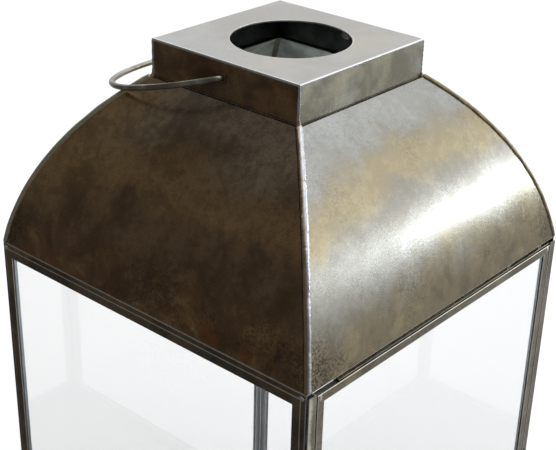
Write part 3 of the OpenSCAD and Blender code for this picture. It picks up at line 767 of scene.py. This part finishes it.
def corner_braze(side, seed):
    """Braze up a cap corner: a thin tube whose radius grows to a blob at the cap's foot."""
    foot, top = roof_top_z - 0.5 * MM, cap_top_z - 1.4 * MM
    t = np.linspace(0, 1, 90)
    height = foot + t * (top - foot)
    radius = (0.55 + 1.6 * np.exp(-((t / 0.09) ** 2)) + 0.12 * uneven(height, seed, 5 * MM)) * MM
    radius = radius * np.sqrt(np.clip(1 - (2 * t - 1) ** 60, 0.03, 1))
    a = np.linspace(0, 2 * np.pi, 20, endpoint=False)
    middle = cap_half - 0.25 * MM + 0.35 * MM * np.exp(-((t / 0.12) ** 2))
    across, out = np.array([1, 1, 0]) / math.sqrt(2), np.array([1, -1, 0]) / math.sqrt(2)
    line = np.stack([middle, -middle, height], 1)
    circle = np.cos(a)[:, None] * across + np.sin(a)[:, None] * out
    rings = line[:, None] + radius[:, None, None] * circle
    copper = 0.9 * np.exp(-((t / 0.2) ** 2)) + 0.4 * (uneven(height, seed + 1, 9 * MM) > 0.4)
    return skin(turned(rings, side), hollow=copper[:, None], worn=0.9)


for k, name in enumerate(CORNERS):
    finish = braze_finish if k == NEAR_CORNER else dull_braze_finish
    piece(f"hip_braze_{name}", "lantern", "braze", finish, [hip_bead(k, 10 * k + 7)], f"hip_bead_{name}")
    piece(f"cap_corner_braze_{name}", "lantern", "braze", braze_finish, [corner_braze(k, 10 * k + 3)])
print("dabs in a hip", round(arc_length / dab_pitch))

# %% [markdown]
# ## The cap
# The cap is a shallow box of the same sheet with its top edges filed bright. The top is a plate
# with a round hole: each ring is its section at one angle round the vent, drawn from the hole's
# edge out to the square outline and back underneath, so the rings close into a frame-like plate
# without a seam. The two walls that carry the bail are made the same way round their small holes.


# %% Plates with a hole
def box_outline(x0, x1, y0, y1, step):
    """A rectangle run anticlockwise, with a point at each corner and one at least every step."""
    return refined(np.array([(x0, y0), (x1, y0), (x1, y1), (x0, y1)]), np.zeros(4), step)[0]


def holed_plate(outline, middle, hole_radius, place, thick, hole_edge, outer_edge, mitre=None):
    """Ring k is the plate's section on the line from the hole's middle to outline point k: over
    the hole's rounded edge, along the face, over the outer edge, and back underneath. With a
    mitre, a point's x is kept within mitre + depth. place turns (x, y, depth) into a point."""
    q, f = np.linspace(0, np.pi / 2, 6), np.linspace(0, 1, 16)[1:-1]
    outer = q[::-1]
    share = np.r_[0 * q, f, 1 + 0 * q, 1, f[::-1], 0]
    offset = np.r_[hole_edge * (1 - np.cos(q)), 0 * f, outer_edge * (np.cos(outer) - 1), 0, 0 * f, 0]
    depth = np.r_[hole_edge * (np.sin(q) - 1), 0 * f, outer_edge * (np.sin(outer) - 1),
                  -thick, -thick + 0 * f, -thick]
    worn = np.r_[0.7 + 0 * q, 0 * f, 1 + 0 * q, 0, 0 * f, 0]
    arm = outline - middle
    far = np.linalg.norm(arm, axis=1)[:, None]
    hole = np.broadcast_to(hole_radius, len(outline))[:, None]
    distance = hole + share * (far - hole) + offset
    x = middle[0] + distance * arm[:, :1] / far
    y = middle[1] + distance * arm[:, 1:] / far
    if mitre:
        x = np.clip(x, -mitre - depth, mitre + depth)
    depth = depth + 0 * x
    return skin(place(x, y, depth), loop=True, worn=worn, inside=(depth < -0.6 * thick) * 1.0)


cap_edge, vent_edge = 0.55 * MM, 0.35 * MM
vent_radius = 43.5 * MM
vent_middle = np.array([1.0, -1.0]) * MM
square = box_outline(-cap_half, cap_half, -cap_half, cap_half, 2.2 * MM)
heading = np.arctan2(*(square - vent_middle).T[::-1])
waver = 0.0035 * np.sin(2 * heading + 0.8) + 0.002 * np.sin(5 * heading) + 0.001 * np.sin(23 * heading)
top_plate = holed_plate(square, vent_middle, vent_radius * (1 + waver),
                        lambda x, y, d: np.stack([x, y, cap_top_z + d], -1), sheet, vent_edge, cap_edge)
piece("cap_plate", "lantern", "cap_patina", cap_top_finish, [top_plate], "cap_top")
print("the vent's hand-cut edge wavers by", round(1000 * vent_radius * np.ptp(waver), 2), "mm")

# %% The cap's walls and the rim under them
wall_top = cap_top_z - sheet
eyelet_radius = 3.05 * MM
for k, name in enumerate(SIDES):
    if name in ("right", "left"):
        outline = box_outline(-cap_half, cap_half, roof_top_z, wall_top, 1.6 * MM)
        part = holed_plate(outline, np.array([0, bail_pivot_z]), eyelet_radius,
                           lambda x, y, d, k=k: turned(np.stack([x, -cap_half - d, y], -1), k),
                           sheet, 0.1 * MM, 0.05 * MM, cap_half)
    else:
        wall = refined(*strip(sheet, wall_top - roof_top_z, 0.05 * MM), 2 * MM)[0]
        part = side_bar(wall, k, cap_half, roof_top_z, 50, inside=(wall[:, 0] > 0.6 * sheet) * 1.0)
    # The left and back walls take the dark patina, partly painted shade of the side away from the light.
    finish = cap_olive_finish if name in ("front", "right") else cap_dark_and_shade_finish
    piece(f"cap_side_{name}", "lantern", "cap_patina", finish, [part], f"cap_wall_{name}")

rim_outer, rim_width = high("cap_rim")[0], 4.15 * MM
flat = strip(rim_width, sheet, 0.15 * MM)[0]
# The rim is marked as inside, so it takes the cap's near-black inner colour: painted shade where the cap
# meets the roof.
rim = [side_bar(flat, k, rim_outer, roof_top_z - sheet, 30, inside=0.8) for k in range(4)]
piece("cap_rim_strips", "lantern", "cap_patina", cap_dark_and_shade_finish, rim, "cap_rim")
print("cap", round(2000 * cap_half, 1), "mm wide, rim", round(2000 * rim_outer, 1), "mm wide")

# %% [markdown]
# ## The bail
# One length of drawn wire: a pin at each end, a tight bend, and a big round bend that lies down on
# the hips. The wire's middle line is written as a heading that changes along its length, so adding
# up steps in that heading gives the line with no corners. The section is a circle carried along it.

# %% The bail, its heads and its eyelets
wire_radius = 2.15 * MM
bail_radius, bend_radius = cap_half + 22.75 * MM, 4 * MM
bail_x = cap_half + 1.2 * MM
bail_out = bend_radius + math.sqrt((bail_radius - bend_radius) ** 2 - bail_x**2)
bail_end = math.atan2(bail_out - bend_radius, bail_x)
drop = bail_pivot_z - low("bail")[2] - wire_radius
swing = math.asin(min(1, drop / (bail_out + bail_radius)))
pin_inner = cap_half - 2.4 * MM


def bail_line():
    """The wire's middle in the bail's own plane: pin, tight bend, round bend, tight bend, pin.
    A heading turns by length / radius; the points are the running sum of the steps."""
    pin, tight, wide = bail_x - pin_inner, math.pi / 2 - bail_end, math.pi + 2 * bail_end
    ends = np.r_[0, np.cumsum([pin, bend_radius * tight, bail_radius * wide, bend_radius * tight, pin])]
    turns = np.r_[0, np.cumsum([0, tight, wide, tight, 0])]
    stretches = zip(ends[:-1], ends[1:], (8, 14, 260, 14, 8))
    s = np.unique(np.concatenate([np.linspace(*stretch) for stretch in stretches]))
    heading = np.interp(s, ends, turns)
    middle = (heading[1:] + heading[:-1]) / 2
    ways = np.stack([np.cos(middle), np.sin(middle)], 1)
    line = np.vstack([(0, 0), np.cumsum(ways * np.diff(s)[:, None], axis=0)])
    line[:, 0] -= line[-1, 0] / 2
    return s, line, heading


def in_bail_plane(x, out, up):
    """A point given across, outwards and above the bail's plane, with the bail lying down."""
    return np.stack([x, out * math.cos(swing) + up * math.sin(swing),
                     bail_pivot_z - out * math.sin(swing) + up * math.cos(swing)], -1)


def bail_wire():
    """Ring i is a circle square to the line; hand bending leaves it a hair out of round."""
    s, line, heading = bail_line()
    a = np.linspace(0, 2 * np.pi, 24, endpoint=False)
    bends = 0.12 * MM * uneven(s, 5, 60 * MM) * np.clip(np.sin(np.pi * s / s[-1]) * 6 - 1, 0, 1)
    radius = (wire_radius * (1 + 0.012 * uneven(s, 6, 12 * MM)))[:, None]
    offset = radius * np.cos(a) + bends[:, None]
    x = line[:, :1] + offset * np.sin(heading)[:, None]
    out = line[:, 1:] - offset * np.cos(heading)[:, None]
    return skin(in_bail_plane(x, out, radius * np.sin(a)))


centre_hole = 0.05 * MM
head_radii = np.array([0.01, 0.5, 0.5, 0.01]) * MM
head = strip(wire_radius + 1 * MM - centre_hole, 1.6 * MM, head_radii, centre_hole)[0]
heads = [lathe(head, (hand * pin_inner, 0, bail_pivot_z), -hand * X) for hand in (1, -1)]
piece("bail_wire", "bail", "wire", wire_finish, [bail_wire(), *heads], "bail")

barrel, flange, thick = eyelet_radius, 3.75 * MM, 0.8 * MM
bore, tube = wire_radius + 0.05 * MM, sheet + 2 * thick
eyelet, worn = rounded([
    (bore, 0), (flange, 0), (flange, thick), (barrel, thick),
    (barrel, tube - thick), (flange, tube - thick), (flange, tube), (bore, tube)],
    np.array([0.3, 0.35, 0.3, 0.02, 0.02, 0.3, 0.35, 0.3]) * MM)
# The left rivet takes the dark patina, partly painted shade like its wall.
for hand, name, finish in ((1, "right", cap_olive_finish), (-1, "left", cap_dark_and_shade_finish)):
    rivet = lathe(eyelet, (hand * (cap_half + thick), 0, bail_pivot_z), -hand * X, True,
                  worn=worn[:, None] * 0.4)
    piece(f"bail_rivet_{name}", "lantern", "wire", finish, [rivet], f"bail_eyelet_{name}")
print("bail lies", round(math.degrees(swing), 2), "degrees below level")
print("wire is", round(bail_line()[0][-1], 3), "m long")

# %% [markdown]
# ## Glazed sides
# Three sides are frames of four folded bars, mitred and soldered at the corners. A bar's section is
# the fold: a lip set back at the outer edge, a small step, and a flat face that laps the glass.
# The corners of the fold get small arcs, marked as worn, because that is where the patina rubs off.

# %% Bars, beads and solder of the glazed sides
lip, recess, bar_width, bar_sheet, step_run = 3.3 * MM, 0.9 * MM, 10.3 * MM, 1 * MM, 0.4 * MM
fold_radius = 0.26 * MM
back_of_lip, after_step = -recess - bar_sheet, lip + bar_sheet
fold, fold_worn = rounded([
    (0, back_of_lip), (after_step - step_run, back_of_lip), (after_step, -bar_sheet),
    (bar_width, -bar_sheet), (bar_width, 0), (lip + step_run, 0), (lip, -recess), (0, -recess)],
    fold_radius)
fold_inside = np.repeat([1.0, 1, 1, 1, 0, 0, 0, 0], CORNER_POINTS)
frame_height = eaves_z - base_top
bead_back, bead_sheet, bead_foot = 4.8 * MM, 0.8 * MM, 3.0 * MM
bead_end, bead_top, foot_end = bar_width - 0.6 * MM, bead_sheet - bead_back, bead_foot + bead_sheet
angle_strip, angle_worn = rounded([
    (bead_foot, -bead_back), (bead_end, -bead_back), (bead_end, bead_top),
    (foot_end, bead_top), (foot_end, back_of_lip), (bead_foot, back_of_lip)], 0.2 * MM)


def frame_bars(outline, side, width, height, foot, rows=2, bow=0.0, seed=0, **marks):
    """The four mitred bars of a frame: bottom, right, top and left, seen from outside."""
    corners = [(0, 0), (width, 0), (width, height), (0, height)]
    ways = [(X, Z), (Z, -X), (-X, -Z), (-Z, X)]
    bars = []
    for k, ((x, z), (along, inward)) in enumerate(zip(corners, ways)):
        corner = turned((x - width / 2, -body_half, foot + z), side)
        along, inward, outward = (turned(way, side) for way in (along, inward, -Y))
        length = height if k % 2 else width
        bars.append(bar(outline, corner, along, inward, outward, length, 1, rows, bow, seed + k, **marks))
    return bars


def solder(middle, out, height, seed):
    """A lump of solder: rings that shrink as cos and rise as sin, with an uneven outline."""
    side = np.cross(out, Z)
    a = np.linspace(0, 2 * np.pi, 28, endpoint=False)
    rise = np.linspace(0, np.pi / 2 * 0.98, 10)[:, None]
    edge = 1.9 * MM * (1 + 0.16 * np.sin(2 * a + seed) + 0.09 * np.sin(5 * a + 2 * seed))
    flat = edge * np.cos(rise)
    lift = height * np.sin(rise) * (1 + 0.15 * np.sin(3 * a + seed))
    rings = (middle + (flat * np.cos(a))[..., None] * side
             + (flat * np.sin(a))[..., None] * np.cross(out, side) + lift[..., None] * out)
    skirt = rings[:1] - 0.5 * MM * out
    return skin(np.concatenate([skirt, rings]), hollow=0.35, worn=0.7)


for name in ("right", "back", "left"):
    k = SIDES.index(name)
    after, before = SIDES[(k + 1) % 4], SIDES[k - 1]
    nodes = [f"{name}_{part}" for part in ("bottom_rail", f"{after}_stile", "top_rail", f"{before}_stile")]
    bars = frame_bars(fold, k, 2 * frame_half, frame_height, base_top, 60, 0.07 * MM, 11 * k,
                      worn=fold_worn, inside=fold_inside)
    for node, part in zip(nodes, bars):
        piece(f"{node}_bar", "lantern", "frame_patina", frame_finish, [part], node)
    beads = frame_bars(angle_strip, k, 2 * frame_half, frame_height, base_top, worn=angle_worn)
    piece(f"{name}_bead_strips", "lantern", "inner_steel", steel_finish, beads, f"{name}_glazing_beads")
    lumps = [solder(turned((x * (frame_half - lip), -body_half + recess * 0.4, z), k), turned(-Y, k),
                    0.55 * MM, x * 3 + z * 40)
             for x in (-1, 1) for z in (base_top + lip, eaves_z - lip)]
    piece(f"{name}_solder", "lantern", "braze", braze_finish, lumps)
print("a glazed side is", round(2000 * frame_half, 1), "by", round(1000 * frame_height, 1), "mm")

# %% [markdown]
# ## The front and its door
# The front has two jambs, a header ledge and a sill, and the door fills what is left. The door's
# bars are angles: a face, and a return at the outer edge that the glass lies behind.

# %% Jambs, header, sill and tabs
jamb_width, return_depth = 7 * MM, 9 * MM
jamb_in = frame_half - jamb_width
front_y = -body_half


def angle_outline(width, depth):
    """The section of an angle: a face of a width, and a return of a depth at its outer edge."""
    return rounded([(0, -depth), (bar_sheet, -depth), (bar_sheet, -bar_sheet),
                    (width, -bar_sheet), (width, 0), (0, 0)], fold_radius)


jamb_angle, jamb_worn = angle_outline(jamb_width, return_depth)
angle_inside = np.repeat([1.0, 1, 1, 1, 0, 0], CORNER_POINTS)
# The near jamb's edge at the corner slit is marked 2.6 times as worn: real edge wear, plus a painted bright
# line for the light seen through the slit.
near_wear_and_painted_light = jamb_worn * np.repeat([1, 1, 1, 2.6, 2.6, 1], CORNER_POINTS)
for hand, name, worn in ((-1, "left", near_wear_and_painted_light), (1, "right", jamb_worn)):
    node = f"front_{name}_jamb"
    jamb = bar(jamb_angle, (hand * jamb_in, front_y, base_top), Z, hand * X, -Y, high(node)[2] - base_top,
               0, 60, 0.06 * MM, 70 + hand, worn=worn, inside=angle_inside)
    piece(f"{node}_bar", "lantern", "frame_patina", front_finish, [jamb], node)
sill = bar(jamb_angle, (-jamb_in, front_y, base_top + jamb_width), X, -Z, -Y, 2 * jamb_in,
           0, 60, 0.05 * MM, 75, worn=jamb_worn, inside=angle_inside)
piece("front_sill_bar", "lantern", "frame_patina", front_finish, [sill], "front_sill")

ledge_low, ledge_high = low("front_header"), high("front_header")
ledge_x, ledge_y, _ = ledge_low
span, ledge_depth, _ = ledge_high - ledge_low
flange_y = -144.5 * MM
ledge = strip(ledge_depth, bar_sheet, 0.2 * MM, y=-bar_sheet)[0]
flange, flange_worn = strip(1 * MM, jamb_width + 0.2 * MM, 0.2 * MM)
piece("front_header_ledge", "lantern", "frame_patina", front_finish, [
    bar(ledge, (ledge_x, ledge_y, ledge_high[2]), X, Y, Z, span, 0, 60, 0.05 * MM, 78),
    bar(flange, (ledge_x, flange_y - 1 * MM, ledge_low[2]), X, Y, Z, span, 0, 60, worn=flange_worn)],
    "front_header")

tab_width = 4 * MM
tab, tab_worn = strip(tab_width, 1.2 * MM, 0.25 * MM)
tab_foot, tab_top = low("eaves_tabs")[2], high("eaves_tabs")[2]
tab_middles = [body_half - 24 * MM, body_half - 68 * MM]
piece("eaves_tab_strips", "lantern", "fittings", frame_finish, [
    bar(tab, (x - tab_width / 2, -roof_half, tab_foot), Z, X, Y, tab_top - tab_foot, worn=tab_worn)
    for x in tab_middles], "eaves_tabs")
print("the gap under the eaves is", round(1000 * (eaves_z - ledge_high[2]), 2), "mm high")

# %% The door
door_half, _, door_top = high("door_top_rail")
door_foot = low("door_bottom_rail")[2]
door_face, door_depth = 6.5 * MM, 4.8 * MM
door_frame = (2 * door_half, door_top - door_foot, door_foot)
door_angle, door_worn = angle_outline(door_face, door_depth)
door_nodes = ("door_bottom_rail", "door_catch_stile", "door_top_rail", "door_hinge_stile")
door_bars = frame_bars(door_angle, 0, *door_frame, 60, 0.06 * MM, 90, worn=door_worn, inside=angle_inside)
for node, part in zip(door_nodes, door_bars):
    piece(f"{node}_bar", "door", "frame_patina", front_finish, [part], node)
bead, bead_worn = strip(door_face - 0.6 * MM - bar_sheet, bead_sheet, 0.2 * MM, bar_sheet, -door_depth)
piece("door_bead_strips", "door", "inner_steel", steel_finish,
      frame_bars(bead, 0, *door_frame, worn=bead_worn), "door_glazing_beads")
in_from_edge = 2.6 * MM
piece("door_solder", "door", "braze", braze_finish, [
    solder((x * (door_half - in_from_edge), front_y + 0.1 * MM, z), -Y, 0.5 * MM, x * 2 + z * 30)
    for x in (-1, 1) for z in (door_foot + in_from_edge, door_top - in_from_edge)])
print("the door is", round(2000 * door_half, 1), "by", round(1000 * door_frame[1], 1), "mm")

# %% Knob, catch, rivet and hinges
knob_low, knob_high = low("door_knob"), high("door_knob")
knob_radius = (knob_high[0] - knob_low[0]) / 2
knob_x, _, knob_z = (knob_low + knob_high) / 2
neck_radius = 0.6 * knob_radius
dome = np.linspace(0, np.pi / 2 * 0.99, 12)
knob = np.r_[[(neck_radius + 0.5 * MM, 0), (neck_radius, 0.35 * MM), (neck_radius, 1.2 * MM),
              (0.75 * knob_radius, 1.5 * MM), (0.97 * knob_radius, 2.0 * MM)],
             np.stack([knob_radius * np.cos(dome), 2.4 * MM + knob_radius * np.sin(dome)], 1)]
piece("door_knob_turned", "door", "fittings", fitting_finish, [lathe(knob, (knob_x, front_y, knob_z), -Y)],
      "door_knob")

catch_x, _, catch_z = joint_at("catch_turn")
catch_low, catch_high = low("door_catch"), high("door_catch")
catch_width, catch_sheet, catch_length = catch_high - catch_low
stadium, _ = refined(*strip(catch_width, catch_length, catch_width / 2 * 0.999, -catch_width / 2,
                            catch_low[2], 12), 0.7 * MM)
lever = holed_plate(stadium, np.array([0, catch_z]), 1.45 * MM,
                    lambda x, y, d: np.stack([x + catch_x, catch_low[1] - d, y], -1),
                    catch_sheet, 0.15 * MM, 0.3 * MM)
piece("door_catch_lever", "catch", "fittings", fitting_finish, [lever], "door_catch")
shoulder, shank, stud_head = 2.2 * MM, 1.4 * MM, 2.6 * MM
shoulder_top, head_foot = 0.35 * MM, 1.45 * MM
cover = np.linspace(0, np.pi / 2 * 0.98, 8)
stud = np.r_[[(shoulder, 0), (shoulder, shoulder_top), (shank, shoulder_top), (shank, head_foot),
              (stud_head, head_foot)],
             np.stack([stud_head * np.cos(cover), head_foot + 0.2 * MM + 0.7 * MM * np.sin(cover)], 1)]
piece("catch_stud", "lantern", "fittings", fitting_finish, [lathe(stud, (catch_x, front_y, catch_z), -Y)],
      "catch_rivet")

hinge_x, hinge_y, _ = joint_at("door_hinge")
knuckle, knuckle_gap, knuckle_radius, pin = 10 * MM, 0.2 * MM, 2.2 * MM, 1.1 * MM
leaf_sheet, leaf_clear, leaf_reach = 0.8 * MM, 3.0 * MM, 6.0 * MM
hinge_length = 3 * knuckle + 2 * knuckle_gap
hinge_feet = [z - hinge_length / 2 for z in (door_foot + 75 * MM, door_top - 75 * MM)]
leaf, leaf_worn = strip(leaf_reach - leaf_clear, leaf_sheet, 0.2 * MM)
neck, neck_worn = strip(leaf_clear + 0.2 * MM, 1.5 * MM, 0.1 * MM)


def hinge_half(foot, hand, places, bore):
    """The flat leaf soldered on the face, and in some places of three an eye and its neck."""
    parts = [bar(leaf, (hinge_x + hand * leaf_clear, front_y, foot), Z, hand * X, -Y, hinge_length,
                 0, 20, worn=leaf_worn)]
    eye, eye_worn = strip(knuckle_radius - bore, knuckle, 0.25 * MM, bore)
    for place in places:
        at = foot + place * (knuckle + knuckle_gap)
        parts.append(lathe(eye, (hinge_x, hinge_y, at), Z, True, 32, worn=eye_worn[:, None]))
        parts.append(bar(neck, (hinge_x, front_y - 0.02 * MM, at), Z, hand * X, -Y, knuckle,
                         worn=neck_worn * 0.4))
    return parts


for body, node, *half in (("lantern", "frame_hinge_leaves", -1, (0, 2), pin),
                          ("door", "door_hinge_leaves", 1, (1,), pin + 0.05 * MM)):
    parts = [part for foot in hinge_feet for part in hinge_half(foot, *half)]
    piece(f"{node}_folded", body, "fittings", fitting_finish, parts, node)
pin_head, pin_top = pin + 0.6 * MM, hinge_length + 1 * MM
pin_outline, _ = rounded([
    (centre_hole, -1 * MM), (pin, -1 * MM), (pin, hinge_length),
    (pin_head, hinge_length), (pin_head, pin_top), (centre_hole, pin_top)],
    np.array([0.01, 0.3, 0.05, 0.2, 0.4, 0.01]) * MM)
piece("hinge_pins_turned", "lantern", "fittings", fitting_finish, [
    lathe(pin_outline, (hinge_x, hinge_y, foot), Z, segments=24) for foot in hinge_feet], "hinge_pins")
print("hinges start at", [round(1000 * foot, 1) for foot in hinge_feet], "mm")

# %% [markdown]
# ## Base and glass
# The base is a flat plate with an angle along each side, on four felt pads. The panes keep their
# CAD shape, which is already what glass is, and only get a finish.

# %% Base, pads and panes
base_half, base_foot = high("base_plate")[0], low("base_skirt_front")[2]
plate_foot, plate_sheet = low("base_plate")[2], 1.5 * MM
plate, plate_worn = refined(*strip(2 * base_half, plate_sheet, 0.4 * MM), 6 * MM)
piece("base_plate_sheet", "lantern", "base_patina", frame_finish, [
    bar(plate, (-base_half, -base_half, plate_foot), Y, X, Z, 2 * base_half, 0, 56, worn=plate_worn)],
    "base_plate")
skirt_width, skirt_height = 20 * MM, plate_foot - base_foot
skirt, skirt_worn = refined(*rounded([
    (0, 0), (skirt_width, 0), (skirt_width, plate_sheet), (plate_sheet, plate_sheet),
    (plate_sheet, skirt_height), (0, skirt_height)],
    np.array([0.6, 0.3, 0.3, 0.3, 0.05, 0.05]) * MM), 4 * MM)
skirt_inside = (skirt.min(1) > 0.8 * plate_sheet) * 1.0
for k, name in enumerate(SIDES):
    angle = side_bar(skirt, k, base_half, base_foot, 60, worn=skirt_worn, inside=skirt_inside)
    piece(f"base_angle_{name}", "lantern", "base_patina", frame_finish, [angle], f"base_skirt_{name}")
pad_radius = 8 * MM
pad_at = high("foot_pads")[0] - pad_radius
pad_radii = np.array([0.01, 0.5, 0.4, 0.01]) * MM
pad = strip(pad_radius - centre_hole, base_foot, pad_radii, centre_hole)[0]
piece("foot_pad_discs", "lantern", "felt", felt_finish, [
    lathe(pad, (x, y, 0), Z, segments=48) for x in (-pad_at, pad_at) for y in (-pad_at, pad_at)],
    "foot_pads")
for node in ("right_glass", "back_glass", "left_glass", "door_glass"):
    pane = frame["nodes"][node]
    pane.data.materials.clear()
    pane.data.materials.append(glass_finish)
print("base", round(2000 * base_half, 1), "mm wide on pads", round(1000 * base_foot, 1), "mm high")

# %% [markdown]
# ## Studio
# A pale floor, white soft light all round for the floor and the matt parts, and for the metal a
# bright side and a dark side, as a studio has with a white wall to the right and a dark curtain to
# the left. A long soft box low on the right draws the band of light across the roof, a thin one
# under it draws the line at the band's foot, and a third lights the top.

# %% Floor, sky and lights
FLOOR_HALF = 9
floor_corners = [(x * FLOOR_HALF, y * FLOOR_HALF, 0) for x, y in ((-1, -1), (1, -1), (1, 1), (-1, 1))]
floor_mesh = bpy.data.meshes.new("floor")
floor_mesh.from_pydata(floor_corners, [], [(0, 1, 2, 3)])
floor = put_in_scene("floor", floor_mesh)
floor_finish = Finish("floor")
floor_finish.set(base_color=(0.93, 0.93, 0.93), roughness=0.9, specular_ior_level=0.0)
floor_mesh.materials.append(floor_finish.material)
floor.visible_glossy = False


def studio_sky():
    """White for the floor and matt parts; for reflections, brightness by direction: bright on the
    right and above the horizon, dark on the left."""
    world = bpy.data.worlds.new("studio")
    bpy.context.scene.world = world
    world.use_nodes = True
    f = Nodes(world.node_tree)
    direction = f.node("ShaderNodeTexCoord", {}, {}, "Generated")
    bright = f.step(f.dot(direction, (0.996, -0.087, 0.0)), -0.20, 0.55)
    sky = f.step(f.split(direction)[2], -0.12, 0.24) * 0.66 + 0.54
    gloss = bright * sky + (1 - bright) * 0.125
    shiny = f.node("ShaderNodeLightPath", {}, {}, "Is Glossy Ray")
    background = f.tree.nodes["Background"].inputs
    f.feed(background["Color"], (1, 1, 1))
    f.feed(background["Strength"], gloss * shiny + (1 - shiny))


def soft_box(name, heading, rise, width, height, power, distance=2.6):
    """An area light at a heading and rise from the lantern's roof, facing it."""
    light = bpy.data.lights.new(name, "AREA")
    light.shape, light.size, light.size_y, light.energy = "RECTANGLE", width, height, power
    light.color = (0.80, 0.90, 1.0)
    a, e = math.radians(heading), math.radians(rise)
    out = np.array([math.cos(a) * math.cos(e), math.sin(a) * math.cos(e), math.sin(e)])
    side = np.array([-math.sin(a), math.cos(a), 0])
    place = out * distance + (eaves_z + 60 * MM) * Z
    put_in_scene(name, light).matrix_world = facing(place, side, out)


studio_sky()
soft_box("band_box", heading=-31, rise=6.0, width=1.3, height=0.31, power=11.0)
soft_box("strip_box", heading=-27, rise=1.2, width=0.95, height=0.07, power=2.4)
soft_box("top_box", heading=-60, rise=80, width=2.6, height=2.6, power=22)
bpy.context.scene.view_settings.view_transform = "Standard"
